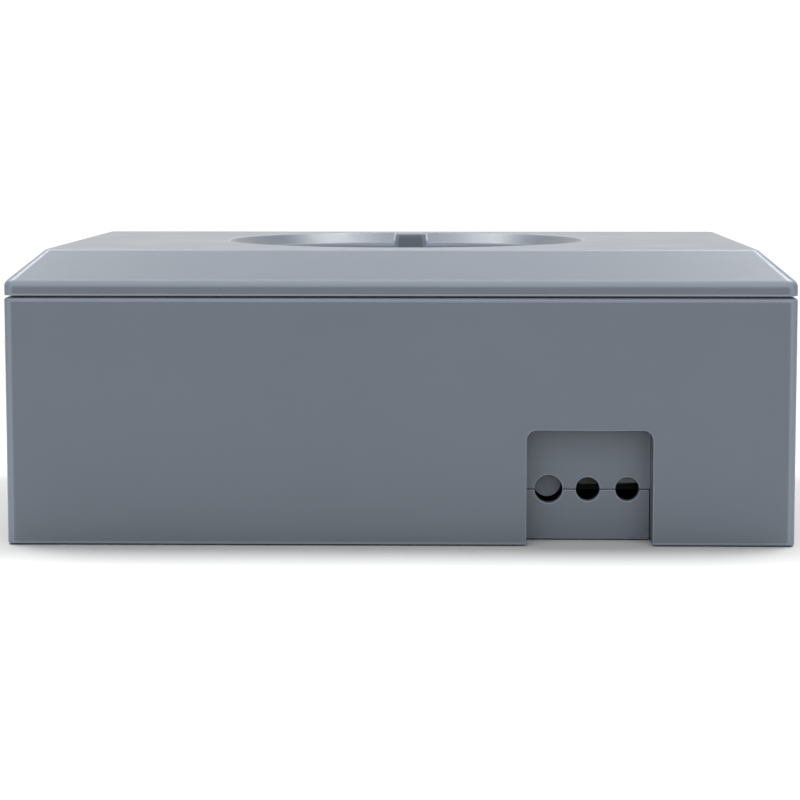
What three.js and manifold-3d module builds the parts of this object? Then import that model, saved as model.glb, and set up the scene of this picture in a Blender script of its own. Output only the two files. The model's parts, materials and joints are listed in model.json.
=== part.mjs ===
// Powered security tag detacher: closed moulded case with a round nest in the lid,
// a curved release probe swung by a geared motor, and a split cable bay at the rear.
// Millimetres. Origin at the bottom centre, +X right seen from the cable side,
// -Y towards the cable bay, +Z up.
import * as THREE from 'three';
import { mergeVertices } from 'three/addons/utils/BufferGeometryUtils.js';
import Module from 'manifold-3d';

const wasm = await Module();
wasm.setup();

// ---- Driving sizes: case
const WIDTH = 240;
const DEPTH = 156;
const HEIGHT = 90;
const WALL = 3;
const CORNER_R = 2;
const SKIRT_Z = 0.5;
const HOUSING_TOP_Z = 75.7;
const COVER_Z = 76.3;
const LIP_TOP_Z = 80.3;
const CHAMFER_IN = 11.3;
const COVER_INNER_STEP_Z = 79;
const COVER_INNER_IN = 12.2;
const PLATE_TOP_Z = 3.8;
const FIT_GAP = 0.3;

// ---- Driving sizes: dish and nest
const DISH_Y = 2;
const DISH_RIM_R = 59.1;
const DISH_WALL_R = 55.1;
const DISH_SLOPE = 4;
const DISH_FLOOR_Z = 80;
const FLOOR_UNDER_Z = 77;
const NEST_PLUG = [64, 30, 14.5];
const NEST_FLANGE = [90, 48, 10];
const NEST_TOP_Z = 82;
const NEST_POCKET_Z = 79;
const NEST_UNDER_Z = 76;

// ---- Driving sizes: cable bay
const BAY_X0 = 38.5;
const BAY_X1 = 76.8;
const BAY_TOP_Z = 35.5;
const BAY_BACK_Y = -66.5;
const BAY_WALL = 2.5;
const SPLIT_Z = 16;
const CABLE_HOLES = [[45.5, 4.25], [57.6, 3.6], [69.8, 3.6]];

// ---- Driving sizes: status light
const LENS_Z = 62;
const LENS_R = 2.6;

// ---- Driving sizes: mechanism
const PIVOT = [-20, 66];
const PROBE_ARC_R = 30;
const PROBE_WIRE_R = 1.6;
const PROBE_START = -62;
const PROBE_TIP = 16;
const SECTOR_TEETH = 48;
const PINION_TEETH = 12;
const SECTOR_MODULE = 1;
const WHEEL_TEETH = 40;
const WHEEL_MODULE = 0.8;
const MESH_GAP = 0.1;
const SECTOR_MESH_ANGLE = -125;
const MOTOR_MESH_ANGLE = -150;
const PLATE_REAR_Y = -14;
const PLATE_FRONT_Y = 16;
const PLATE_T = 2;

const rad = (deg) => deg * Math.PI / 180;
const polar = (centre, radius, deg) => [
  centre[0] + radius * Math.cos(rad(deg)),
  centre[1] + radius * Math.sin(rad(deg)),
];

const IDLER_DISTANCE = SECTOR_MODULE * (SECTOR_TEETH + PINION_TEETH) / 2 + MESH_GAP;
const IDLER = polar(PIVOT, IDLER_DISTANCE, SECTOR_MESH_ANGLE);
const MOTOR_DISTANCE = WHEEL_MODULE * (WHEEL_TEETH + PINION_TEETH) / 2 + MESH_GAP;
const MOTOR = polar(IDLER, MOTOR_DISTANCE, MOTOR_MESH_ANGLE);

// ---- Solids
function solid(geometry) {
  const source = geometry.clone();
  source.deleteAttribute('normal');
  source.deleteAttribute('uv');
  const welded = mergeVertices(source, 1e-4);
  return new wasm.Manifold(new wasm.Mesh({
    numProp: 3,
    vertProperties: new Float32Array(welded.attributes.position.array),
    triVerts: new Uint32Array(welded.index.array),
  }));
}

function asGeometry(manifold) {
  const mesh = manifold.getMesh();
  const geometry = new THREE.BufferGeometry();
  geometry.setAttribute('position', new THREE.BufferAttribute(mesh.vertProperties, 3));
  geometry.setIndex(new THREE.BufferAttribute(mesh.triVerts, 1));
  return geometry;
}

function joined(...parts) {
  return parts.reduce((sum, next) => sum.add(next));
}

function cutBy(base, ...tools) {
  return tools.reduce((left, tool) => left.subtract(tool), base);
}

function box(x0, x1, y0, y1, z0, z1) {
  const geometry = new THREE.BoxGeometry(x1 - x0, y1 - y0, z1 - z0);
  geometry.translate((x0 + x1) / 2, (y0 + y1) / 2, (z0 + z1) / 2);
  return solid(geometry);
}

function roundRect(width, depth, radius, steps = 3, centreY = 0) {
  const points = [];
  const corners = [[1, 1, 0], [-1, 1, 90], [-1, -1, 180], [1, -1, 270]];
  for (const [sx, sy, start] of corners) {
    const cx = sx * (width / 2 - radius);
    const cy = sy * (depth / 2 - radius) + centreY;
    for (let i = 0; i <= steps; i += 1) {
      points.push(polar([cx, cy], radius, start + 90 * i / steps));
    }
  }
  return points;
}

function circle(x, y, radius, segments) {
  const points = [];
  for (let i = 0; i < segments; i += 1) {
    points.push(polar([x, y], radius, 360 * i / segments));
  }
  return points;
}

// Convex outlines stacked along Z and closed by flat ends.
function loft(rings) {
  const count = rings[0].points.length;
  const positions = [];
  const index = [];
  for (const ring of rings) {
    for (const [x, y] of ring.points) {
      positions.push(x, y, ring.z);
    }
  }
  for (let k = 0; k < rings.length - 1; k += 1) {
    for (let i = 0; i < count; i += 1) {
      const a = k * count + i;
      const b = k * count + (i + 1) % count;
      index.push(a, b, b + count, a, b + count, a + count);
    }
  }
  const top = (rings.length - 1) * count;
  for (let i = 1; i < count - 1; i += 1) {
    index.push(0, i + 1, i);
    index.push(top, top + i, top + i + 1);
  }
  const geometry = new THREE.BufferGeometry();
  geometry.setAttribute('position', new THREE.Float32BufferAttribute(positions, 3));
  geometry.setIndex(index);
  return solid(geometry);
}

function prism(points, z0, z1) {
  return loft([{ z: z0, points }, { z: z1, points }]);
}

function rod(x, y, radius, z0, z1, segments = 24) {
  return prism(circle(x, y, radius, segments), z0, z1);
}

// Outline in X and Z, any shape, extruded along Y.
function plateXZ(points, y0, y1) {
  const shape = new THREE.Shape(points.map(([x, z]) => new THREE.Vector2(x, z)));
  const geometry = new THREE.ExtrudeGeometry(shape, { depth: y1 - y0, bevelEnabled: false });
  geometry.rotateX(Math.PI / 2);
  geometry.translate(0, y1, 0);
  return solid(geometry);
}

function rodY(x, z, radius, y0, y1, segments = 24) {
  return plateXZ(circle(x, z, radius, segments), y0, y1);
}

function turned(profile, segments) {
  const points = profile.map(([r, z]) => new THREE.Vector2(r, z));
  const geometry = new THREE.LatheGeometry(points, segments);
  geometry.rotateX(Math.PI / 2);
  return geometry;
}

// ---- Scene
const detacher = new THREE.Group();
detacher.name = 'security_tag_detacher';

const COLOURS = {
  shell: 0x6f7780,
  nest: 0x3b4046,
  steel: 0xb4b8bc,
  zinc: 0x9aa0a6,
  dark: 0x1d1f22,
  nylon: 0xe6e2d6,
  brass: 0xc9a24a,
  board: 0x1f6a3c,
  blue: 0x2c5a9c,
  rubber: 0x26272a,
  lens: 0xbfe8c4,
};

function place(name, source, colour) {
  const geometry = source.isBufferGeometry ? source : asGeometry(source);
  const material = new THREE.MeshStandardMaterial({ color: COLOURS[colour] });
  const mesh = new THREE.Mesh(geometry, material);
  mesh.name = name;
  detacher.add(mesh);
}

// Pan head screw along Z with its head seat at the given point.
function screw(name, x, y, seatZ, headR, headH, shankR, shankL, up) {
  const sign = up ? 1 : -1;
  const profile = [
    [0, -sign * headH],
    [headR, -sign * headH],
    [headR, 0],
    [shankR, 0],
    [shankR, sign * shankL],
    [0, sign * shankL],
  ];
  const geometry = turned(up ? profile : profile.reverse(), 12);
  geometry.translate(x, y, seatZ);
  place(name, solid(geometry), 'zinc');
}

// ---- Case
const COLUMN_X = 107.5;
const COLUMN_Y = 65.5;
const COLUMN_SEAT_Z = 58;
const BASE_SCREWS = [[-60, -69], [95, -69], [-60, 69], [60, 69]];
const QUADRANTS = [[-1, -1, 'rear_left'], [1, -1, 'rear_right'],
  [-1, 1, 'front_left'], [1, 1, 'front_right']];

function cableBores(y0, y1) {
  return CABLE_HOLES.map(([x, radius]) => rodY(x, SPLIT_Z, radius, y0, y1, 28));
}

function makeHousing() {
  const outer = prism(roundRect(WIDTH, DEPTH, CORNER_R), SKIRT_Z, HOUSING_TOP_Z);
  const inner = prism(roundRect(WIDTH - 2 * WALL, DEPTH - 2 * WALL, 1), 0, HOUSING_TOP_Z + 1);
  let body = cutBy(outer, inner);
  for (const [sx, sy] of QUADRANTS) {
    const xs = [sx * (COLUMN_X - 8.5), sx * (WIDTH / 2 - 1.5)].sort((a, b) => a - b);
    const ys = [sy * (COLUMN_Y - 8.5), sy * (DEPTH / 2 - 1.5)].sort((a, b) => a - b);
    const column = box(xs[0], xs[1], ys[0], ys[1], PLATE_TOP_Z, 76);
    const well = rod(sx * COLUMN_X, sy * COLUMN_Y, 4.5, PLATE_TOP_Z - 1, COLUMN_SEAT_Z, 16);
    const hole = rod(sx * COLUMN_X, sy * COLUMN_Y, 2.3, COLUMN_SEAT_Z - 1, 77, 12);
    body = cutBy(joined(body, column), well, hole);
  }
  for (const [x, y] of BASE_SCREWS) {
    const ys = [Math.sign(y) * 64, Math.sign(y) * (DEPTH / 2 - 1.5)].sort((a, b) => a - b);
    const boss = box(x - 5, x + 5, ys[0], ys[1], PLATE_TOP_Z, 18);
    body = cutBy(joined(body, boss), rod(x, y, 1.6, PLATE_TOP_Z - 1, 16, 12));
  }
  body = cutBy(body, rodY(0, LENS_Z, LENS_R, 70, 80, 16));
  return makeBay(body);
}

// The bay is open to the rear and below; its back wall stops at the split line.
function makeBay(body) {
  const backY = BAY_BACK_Y + BAY_WALL;
  const surround = box(BAY_X0 - BAY_WALL, BAY_X1 + BAY_WALL, -DEPTH / 2 + 1.5, backY,
    SKIRT_Z, BAY_TOP_Z + BAY_WALL);
  const pocketOutline = [
    [BAY_X0, SKIRT_Z - 2],
    [BAY_X1, SKIRT_Z - 2],
    [BAY_X1, BAY_TOP_Z - 3],
    [BAY_X1 - 0.88, BAY_TOP_Z - 0.88],
    [BAY_X1 - 3, BAY_TOP_Z],
    [BAY_X0 + 3, BAY_TOP_Z],
    [BAY_X0 + 0.88, BAY_TOP_Z - 0.88],
    [BAY_X0, BAY_TOP_Z - 3],
  ];
  const pocket = plateXZ(pocketOutline, -DEPTH / 2 - 1, BAY_BACK_Y);
  const lower = box(BAY_X0, BAY_X1, BAY_BACK_Y - 1, backY + 1, SKIRT_Z - 1, SPLIT_Z + 0.15);
  return cutBy(joined(body, surround), pocket, lower, ...cableBores(BAY_BACK_Y - 1, backY + 1));
}

function makeCover() {
  const topW = WIDTH - 2 * CHAMFER_IN;
  const topD = DEPTH - 2 * CHAMFER_IN;
  const outer = loft([
    { z: COVER_Z, points: roundRect(WIDTH, DEPTH, CORNER_R) },
    { z: LIP_TOP_Z, points: roundRect(WIDTH, DEPTH, CORNER_R) },
    { z: HEIGHT, points: roundRect(topW, topD, 1.5) },
  ]);
  const innerW = WIDTH - 2 * WALL;
  const innerD = DEPTH - 2 * WALL;
  const inner = loft([
    { z: COVER_Z - 1, points: roundRect(innerW, innerD, 1) },
    { z: COVER_INNER_STEP_Z, points: roundRect(innerW, innerD, 1) },
    { z: HEIGHT - WALL, points: roundRect(WIDTH - 2 * COVER_INNER_IN, DEPTH - 2 * COVER_INNER_IN, 1) },
  ]);
  let body = joined(cutBy(outer, inner), ...makeSkirt(), ...makeCoverBosses());
  body = joined(body, rod(0, DISH_Y, DISH_WALL_R + WALL, FLOOR_UNDER_Z, HEIGHT - WALL + 0.5, 64));
  const bowl = loft([
    { z: DISH_FLOOR_Z, points: circle(0, DISH_Y, DISH_WALL_R, 64) },
    { z: HEIGHT - DISH_SLOPE, points: circle(0, DISH_Y, DISH_WALL_R, 64) },
    { z: HEIGHT + 1, points: circle(0, DISH_Y, DISH_RIM_R + 1, 64) },
  ]);
  body = joined(cutBy(body, bowl), makeKey());
  const [plugW, plugD, plugR] = NEST_PLUG;
  const nestHole = prism(roundRect(plugW + 0.6, plugD + 0.6, plugR, 5, DISH_Y), 60, HEIGHT);
  const screwHoles = NEST_SCREWS.map(([x, y]) => rod(x, y, 1.4, 72, HEIGHT, 12));
  const caseHoles = QUADRANTS.map(([sx, sy]) => rod(sx * COLUMN_X, sy * COLUMN_Y, 2, 75, 83, 12));
  return cutBy(body, nestHole, ...screwHoles, ...caseHoles);
}

// Straight tongues that locate the cover inside the housing wall.
function makeSkirt() {
  const x = WIDTH / 2 - WALL - FIT_GAP;
  const y = DEPTH / 2 - WALL - FIT_GAP;
  return [
    box(-96, 96, -y, -y + 1.5, 72.3, 81),
    box(-96, 96, y - 1.5, y, 72.3, 81),
    box(-x, -x + 1.5, -54, 54, 72.3, 81),
    box(x - 1.5, x, -54, 54, 72.3, 81),
  ];
}

const NEST_SCREWS = [[-36, DISH_Y - 17], [36, DISH_Y - 17], [-36, DISH_Y + 17], [36, DISH_Y + 17]];

function makeCoverBosses() {
  const corner = QUADRANTS.map(([sx, sy]) => rod(sx * COLUMN_X, sy * COLUMN_Y, 5, 76, 85, 16));
  const nest = NEST_SCREWS.map(([x, y]) => rod(x, y, 3.8, 71, FLOOR_UNDER_Z + 1, 16));
  return [...corner, ...nest];
}

// Locating key on the user side of the bowl, drafted so it is widest at the floor.
function makeKey() {
  const front = DISH_Y + DISH_WALL_R - 1.2;
  const back = DISH_Y + DISH_RIM_R + 1;
  const outline = (half) => [[-half, front], [half, front], [half, back], [-half, back]];
  return loft([
    { z: DISH_FLOOR_Z - 0.5, points: outline(5.9) },
    { z: HEIGHT - 1.2, points: outline(4.9) },
    { z: HEIGHT, points: outline(4.9).map(([x, y]) => [x * 0.9, y === front ? y + 0.8 : y]) },
  ]);
}

const FEET = QUADRANTS.map(([sx, sy, side]) => [sx * 95, sy * 52, side]);
const BOARD_SCREWS = [[29, -36], [101, -36], [29, 46], [101, 46]];
const CLAMP_SCREWS = [[33, -57.5, 'left'], [82, -57.5, 'right']];
const FRAME_SCREWS = [[-66, -6], [-66, 10], [2, -6], [2, 10]];
const BOARD_Z = 12;
const CLAMP_Z = 19.5;

function makeBottomPlate() {
  const width = WIDTH - 2 * WALL - 2 * FIT_GAP;
  const depth = DEPTH - 2 * WALL - 2 * FIT_GAP;
  const backY = BAY_BACK_Y + BAY_WALL;
  let plate = prism(roundRect(width, depth, 1), SKIRT_Z, PLATE_TOP_Z);
  plate = cutBy(plate, box(BAY_X0 - BAY_WALL - FIT_GAP, BAY_X1 + BAY_WALL + FIT_GAP,
    -DEPTH / 2, backY + FIT_GAP, 0, PLATE_TOP_Z + 1));
  const panel = box(BAY_X0 + 0.2, BAY_X1 - 0.2, BAY_BACK_Y, backY, SKIRT_Z, SPLIT_Z - 0.15);
  const root = box(BAY_X0 + 0.2, BAY_X1 - 0.2, BAY_BACK_Y + 1, backY + 1.5, SKIRT_Z, PLATE_TOP_Z);
  const posts = BOARD_SCREWS.map(([x, y]) => rod(x, y, 3.5, PLATE_TOP_Z - 1, BOARD_Z, 16));
  const clampPosts = CLAMP_SCREWS.map(([x, y]) => rod(x, y, 4, PLATE_TOP_Z - 1, CLAMP_Z, 16));
  plate = joined(plate, panel, root, ...posts, ...clampPosts);
  plate = cutBy(plate, ...cableBores(BAY_BACK_Y - 1, backY + 3));
  plate = cutBy(plate, ...BOARD_SCREWS.map(([x, y]) => rod(x, y, 1.4, BOARD_Z - 6, 20, 12)));
  plate = cutBy(plate, ...CLAMP_SCREWS.map(([x, y]) => rod(x, y, 1.4, CLAMP_Z - 8, 30, 12)));
  plate = cutBy(plate, ...FRAME_SCREWS.map(([x, y]) => rod(x, y, 1.5, 1.6, 10, 12)));
  plate = cutBy(plate, ...BASE_SCREWS.map(([x, y]) => rod(x, y, 1.9, 0, 10, 12)));
  plate = cutBy(plate, ...BASE_SCREWS.map(([x, y]) => rod(x, y, 3.7, 0, 2.6, 16)));
  return cutBy(plate, ...FEET.map(([x, y]) => rod(x, y, 9.2, 0, 2, 24)));
}

function makeNest() {
  const [plugW, plugD, plugR] = NEST_PLUG;
  const [flangeW, flangeD, flangeR] = NEST_FLANGE;
  const flange = prism(roundRect(flangeW, flangeD, flangeR, 3, DISH_Y), DISH_FLOOR_Z, NEST_TOP_Z);
  const plug = prism(roundRect(plugW, plugD, plugR, 5, DISH_Y), NEST_UNDER_Z, DISH_FLOOR_Z + 1);
  const pocket = loft([
    { z: NEST_POCKET_Z, points: roundRect(54, 22, 10.9, 5, DISH_Y) },
    { z: NEST_TOP_Z + 1, points: roundRect(58, 26, 12.9, 5, DISH_Y) },
  ]);
  const slot = box(2.8, 10.8, DISH_Y - 2.3, DISH_Y + 2.3, 70, 90);
  const plungerHole = rod(PLUNGER_X, DISH_Y, 3.6, 70, 90, 24);
  const screwHoles = NEST_SCREWS.map(([x, y]) => rod(x, y, 1.6, 78, 90, 12));
  return cutBy(joined(flange, plug), pocket, slot, plungerHole, ...screwHoles);
}

// ---- Gears
// Involute outline with backlash; the first tooth centre points along the phase angle.
function gearOutline(centre, teeth, module, phase, from = 0, to = teeth) {
  const pressure = rad(25);
  const pitchR = module * teeth / 2;
  const baseR = pitchR * Math.cos(pressure);
  const tipR = pitchR + 0.8 * module;
  const rootR = pitchR - 1.15 * module;
  const involute = (angle) => Math.tan(angle) - angle;
  const halfAtPitch = Math.PI / (2 * teeth) - 0.12 * module / pitchR;
  const half = (r) => {
    const limited = Math.max(r, baseR);
    return halfAtPitch + involute(pressure) - involute(Math.acos(baseR / limited));
  };
  const radii = [rootR, pitchR, tipR];
  const points = [];
  for (let i = from; i < to; i += 1) {
    const middle = rad(phase) + 2 * Math.PI * i / teeth;
    for (const r of radii) {
      const angle = middle - half(r);
      points.push([centre[0] + r * Math.cos(angle), centre[1] + r * Math.sin(angle)]);
    }
    for (const r of [...radii].reverse()) {
      const angle = middle + half(r);
      points.push([centre[0] + r * Math.cos(angle), centre[1] + r * Math.sin(angle)]);
    }
  }
  return points;
}

function sectorOutline() {
  const pitch = 360 / SECTOR_TEETH;
  const first = SECTOR_MESH_ANGLE - 9.5 * pitch;
  const teeth = gearOutline(PIVOT, SECTOR_TEETH, SECTOR_MODULE, first, 0, 11);
  const rim = SECTOR_MODULE * SECTOR_TEETH / 2 - 1.15;
  return [PIVOT, polar(PIVOT, rim, first - 4), ...teeth, polar(PIVOT, rim, first + 10 * pitch + 4)];
}

function makeCarrier() {
  const hub = rodY(...PIVOT, 6, PLATE_REAR_Y + PLATE_T + 0.3, PLATE_FRONT_Y - 0.3, 24);
  const sector = plateXZ(sectorOutline(), 8, 12);
  const arm = plateXZ([
    polar(PIVOT, 5, -140),
    polar(PIVOT, 33, -63),
    polar(PIVOT, 34, -56),
    polar(PIVOT, 33, -49),
    polar(PIVOT, 5, 30),
  ], DISH_Y - 2.5, DISH_Y + 2.5);
  const flag = plateXZ([
    PIVOT,
    polar(PIVOT, 19, -77),
    polar(PIVOT, 19.2, -70),
    polar(PIVOT, 19, -63),
  ], -7, -6);
  const bore = rodY(...PIVOT, 3.08, -20, 24, 36);
  const seat = probeWire(PROBE_START - 6, PROBE_TIP + 6);
  return cutBy(joined(hub, sector, arm, flag), bore, seat);
}

// Round wire bent to an arc about the pivot, in the plane of the nest slot.
function probeWire(from, to) {
  const steps = Math.round((to - from) / 6);
  const sides = 10;
  const positions = [];
  const index = [];
  for (let k = 0; k <= steps; k += 1) {
    const turn = from + (to - from) * k / steps;
    for (let i = 0; i < sides; i += 1) {
      const side = rad(360 * i / sides);
      const [x, z] = polar(PIVOT, PROBE_ARC_R + PROBE_WIRE_R * Math.cos(side), turn);
      positions.push(x, DISH_Y + PROBE_WIRE_R * Math.sin(side), z);
    }
  }
  for (let k = 0; k < steps; k += 1) {
    for (let i = 0; i < sides; i += 1) {
      const a = k * sides + i;
      const b = k * sides + (i + 1) % sides;
      index.push(a, b, b + sides, a, b + sides, a + sides);
    }
  }
  const last = steps * sides;
  for (let i = 1; i < sides - 1; i += 1) {
    index.push(0, i + 1, i);
    index.push(last, last + i, last + i + 1);
  }
  const geometry = new THREE.BufferGeometry();
  geometry.setAttribute('position', new THREE.Float32BufferAttribute(positions, 3));
  geometry.setIndex(index);
  return solid(geometry);
}

function makeFrame() {
  const outline = [[-72, 3.8], [8, 3.8], [8, 70], [0, 73], [-28, 73], [-46, 58], [-72, 48]];
  const rear = plateXZ(outline, PLATE_REAR_Y, PLATE_REAR_Y + PLATE_T);
  const front = plateXZ(outline, PLATE_FRONT_Y, PLATE_FRONT_Y + PLATE_T);
  const base = box(-72, 8, PLATE_REAR_Y, PLATE_FRONT_Y + PLATE_T, 3.8, 5.8);
  const shafts = [
    rodY(...PIVOT, 3, -30, 30, 24),
    rodY(...IDLER, 2.42, -30, 30, 24),
    rodY(...MOTOR, 4.8, -30, 0, 24),
    ...MOTOR_SCREWS.map(([x, z]) => rodY(x, z, 1.5, -30, 0, 12)),
  ];
  const bolts = FRAME_SCREWS.map(([x, y]) => rod(x, y, 1.7, 0, 10, 12));
  return cutBy(joined(rear, front, base), ...shafts, ...bolts);
}

const MOTOR_SCREWS = [[MOTOR[0], MOTOR[1] + 8, 'upper'], [MOTOR[0], MOTOR[1] - 8, 'lower']];
const MOTOR_R = 14;
const MOTOR_FACE_Y = PLATE_REAR_Y;

function makeMotor() {
  const can = rodY(...MOTOR, MOTOR_R, MOTOR_FACE_Y - 34, MOTOR_FACE_Y, 32);
  const boss = rodY(...MOTOR, 4.5, MOTOR_FACE_Y - 1, MOTOR_FACE_Y + PLATE_T, 20);
  const tail = rodY(...MOTOR, 6, MOTOR_FACE_Y - 37, MOTOR_FACE_Y - 33, 20);
  const holes = MOTOR_SCREWS.map(([x, z]) => rodY(x, z, 1.5, MOTOR_FACE_Y - 4, 0, 12));
  const well = rodY(...MOTOR, 1.6, MOTOR_FACE_Y - 8, 0, 16);
  return cutBy(joined(can, boss, tail), well, ...holes);
}

function makeIdler() {
  const y0 = PLATE_REAR_Y + PLATE_T + 0.3;
  const y1 = PLATE_FRONT_Y - 0.3;
  const wheelPhase = MOTOR_MESH_ANGLE + 180 / WHEEL_TEETH;
  const wheel = plateXZ(gearOutline(IDLER, WHEEL_TEETH, WHEEL_MODULE, wheelPhase), -10, -6);
  const pinionPhase = SECTOR_MESH_ANGLE + 180;
  const pinion = plateXZ(gearOutline(IDLER, PINION_TEETH, SECTOR_MODULE, pinionPhase), 7.5, 12.5);
  const hub = rodY(...IDLER, 4.4, y0, y1, 20);
  return cutBy(joined(wheel, pinion, hub), rodY(...IDLER, 2.5, -30, 30, 36));
}

function makeMotorPinion() {
  const phase = MOTOR_MESH_ANGLE + 180;
  const gear = plateXZ(gearOutline(MOTOR, PINION_TEETH, WHEEL_MODULE, phase), -10.5, -5.5);
  return cutBy(gear, rodY(...MOTOR, 1.5, -30, 0, 16));
}

// Slotted light gate whose slot faces the pivot; the carrier flag enters it.
function makeGate(angle) {
  const body = box(12, 25, PLATE_REAR_Y + PLATE_T, -3.4, -4, 4);
  const slot = box(0, 20.5, -8, -5, -10, 10);
  const foot = box(0, 20.5, PLATE_REAR_Y, -9.6, -10, 10);
  const shaped = asGeometry(cutBy(body, slot, foot));
  shaped.rotateY(-rad(angle));
  shaped.translate(PIVOT[0], 0, PIVOT[1]);
  return shaped;
}

// ---- Tag plunger
const PLUNGER_X = 24;
const GUIDE_FLOOR_Z = 60;

function makePlunger() {
  const profile = [
    [0, 54],
    [2.4, 54],
    [2.4, 73.9],
    [5, 73.9],
    [5, 75.9],
    [3.4, 75.9],
    [3.4, 80.9],
    [2.8, 81.5],
    [0, 81.5],
  ];
  const geometry = turned(profile, 24);
  geometry.translate(PLUNGER_X, DISH_Y, 0);
  return solid(geometry);
}

function makeGuide() {
  const flange = box(PLUNGER_X - 8, PLUNGER_X + 8, DISH_Y - 12, DISH_Y + 12, 74, NEST_UNDER_Z);
  const barrel = rod(PLUNGER_X, DISH_Y, 7, GUIDE_FLOOR_Z - 2, NEST_UNDER_Z, 24);
  const well = rod(PLUNGER_X, DISH_Y, 5.3, GUIDE_FLOOR_Z, NEST_UNDER_Z + 1, 24);
  const hole = rod(PLUNGER_X, DISH_Y, 2.6, 50, 80, 24);
  return cutBy(joined(flange, barrel), well, hole);
}

function makeTagGate() {
  const body = box(PLUNGER_X - 4, PLUNGER_X + 4, DISH_Y - 6, DISH_Y + 6, 46, GUIDE_FLOOR_Z - 2);
  return cutBy(body, box(PLUNGER_X - 5, PLUNGER_X + 5, DISH_Y - 3, DISH_Y + 3, 49, 70));
}

function makeSpring() {
  class Coil extends THREE.Curve {
    getPoint(t) {
      const turn = 2 * Math.PI * 5 * t;
      const z = GUIDE_FLOOR_Z + 0.5 + 12.8 * t;
      return new THREE.Vector3(
        PLUNGER_X + 4.2 * Math.cos(turn),
        DISH_Y + 4.2 * Math.sin(turn),
        z,
      );
    }
  }
  const wire = new THREE.Shape(circle(0, 0, 0.45, 5).map(([x, y]) => new THREE.Vector2(x, y)));
  const geometry = new THREE.ExtrudeGeometry(wire, {
    steps: 60,
    extrudePath: new Coil(),
    bevelEnabled: false,
  });
  return solid(geometry);
}

// ---- Assembly
place('lower_housing', makeHousing(), 'shell');
place('top_cover', makeCover(), 'shell');
place('bottom_plate', makeBottomPlate(), 'shell');
place('nest_insert', makeNest(), 'nest');

place('mech_frame', makeFrame(), 'steel');
place('pivot_shaft', rodY(...PIVOT, 3, PLATE_REAR_Y - 2, PLATE_FRONT_Y + PLATE_T + 2, 24), 'steel');
place('idler_shaft', rodY(...IDLER, 2.42, PLATE_REAR_Y - 1, PLATE_FRONT_Y + PLATE_T + 1, 24), 'steel');
place('pivot_clip', cutBy(
  rodY(...PIVOT, 5, PLATE_FRONT_Y + PLATE_T, PLATE_FRONT_Y + PLATE_T + 1, 16),
  rodY(...PIVOT, 3, 0, 30, 24),
), 'dark');
place('probe_carrier', makeCarrier(), 'zinc');
place('release_probe', probeWire(PROBE_START, PROBE_TIP), 'steel');
place('idler_gear', makeIdler(), 'nylon');
place('drive_motor', makeMotor(), 'zinc');
place('motor_shaft', rodY(...MOTOR, 1.5, MOTOR_FACE_Y - 7, -5, 16), 'steel');
place('motor_pinion', makeMotorPinion(), 'brass');
for (const [x, z, side] of MOTOR_SCREWS) {
  const inner = PLATE_REAR_Y + PLATE_T;
  const head = rodY(x, z, 2.6, inner, inner + 1.5, 12);
  const shank = rodY(x, z, 1.5, MOTOR_FACE_Y - 3, inner + 0.5, 12);
  place(`motor_screw_${side}`, joined(head, shank), 'zinc');
}
place('home_sensor', makeGate(-70), 'dark');
place('end_sensor', makeGate(-8), 'dark');

place('tag_plunger', makePlunger(), 'nylon');
place('plunger_spring', makeSpring(), 'steel');
place('plunger_guide', makeGuide(), 'dark');
place('tag_sensor', makeTagGate(), 'dark');

const boardHoles = BOARD_SCREWS.map(([x, y]) => rod(x, y, 1.6, 0, 30, 12));
const BOARD_TOP_Z = BOARD_Z + 1.6;
place('control_board', cutBy(box(25, 105, -40, 50, BOARD_Z, BOARD_TOP_Z), ...boardHoles), 'board');
place('controller_chip', box(63, 77, 3, 17, BOARD_TOP_Z, BOARD_TOP_Z + 2), 'dark');
place('motor_relay', box(36, 55, -28, -13, BOARD_TOP_Z, BOARD_TOP_Z + 15), 'blue');
place('capacitor', rod(92, 30, 6.5, BOARD_TOP_Z, BOARD_TOP_Z + 20, 20), 'dark');
place('buzzer', rod(45, 34, 6, BOARD_TOP_Z, BOARD_TOP_Z + 8, 20), 'dark');
place('cable_terminal', makeTerminal(), 'nylon');
place('wire_connector', makeConnector(), 'nylon');

// Terminal block with one wire entry for each cable hole.
function makeTerminal() {
  const body = box(44, 74, -38, -29, BOARD_TOP_Z, BOARD_TOP_Z + 11);
  const entries = [50, 59, 68].map((x) => box(x - 2.5, x + 2.5, -39, -33, 17, 21));
  return cutBy(body, ...entries);
}

function makeConnector() {
  const body = box(28, 36, -8, 8, BOARD_TOP_Z, BOARD_TOP_Z + 9);
  return cutBy(body, box(29.2, 34.8, -6.8, 6.8, BOARD_TOP_Z + 3, BOARD_TOP_Z + 10));
}

// Strain relief bar: a lobe for the wide hole, clearance arches for the other two.
function makeClamp() {
  const bar = box(28, 87, -60, -55, CLAMP_Z, CLAMP_Z + 6);
  const lobe = rodY(45.2, 17.1, 4.3, -60, -55, 20);
  const pad = box(65.8, 73.8, -60, -55, 17.1, CLAMP_Z + 1);
  const holes = CLAMP_SCREWS.map(([x, y]) => rod(x, y, 1.6, 0, 40, 12));
  return cutBy(joined(bar, lobe, pad), ...holes);
}
place('cable_clamp', makeClamp(), 'shell');

place('status_led', rodY(0, LENS_Z, 2.5, 64, 71, 16), 'lens');
place('status_lens', rodY(0, LENS_Z, LENS_R, 71, DEPTH / 2, 16), 'lens');

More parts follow.
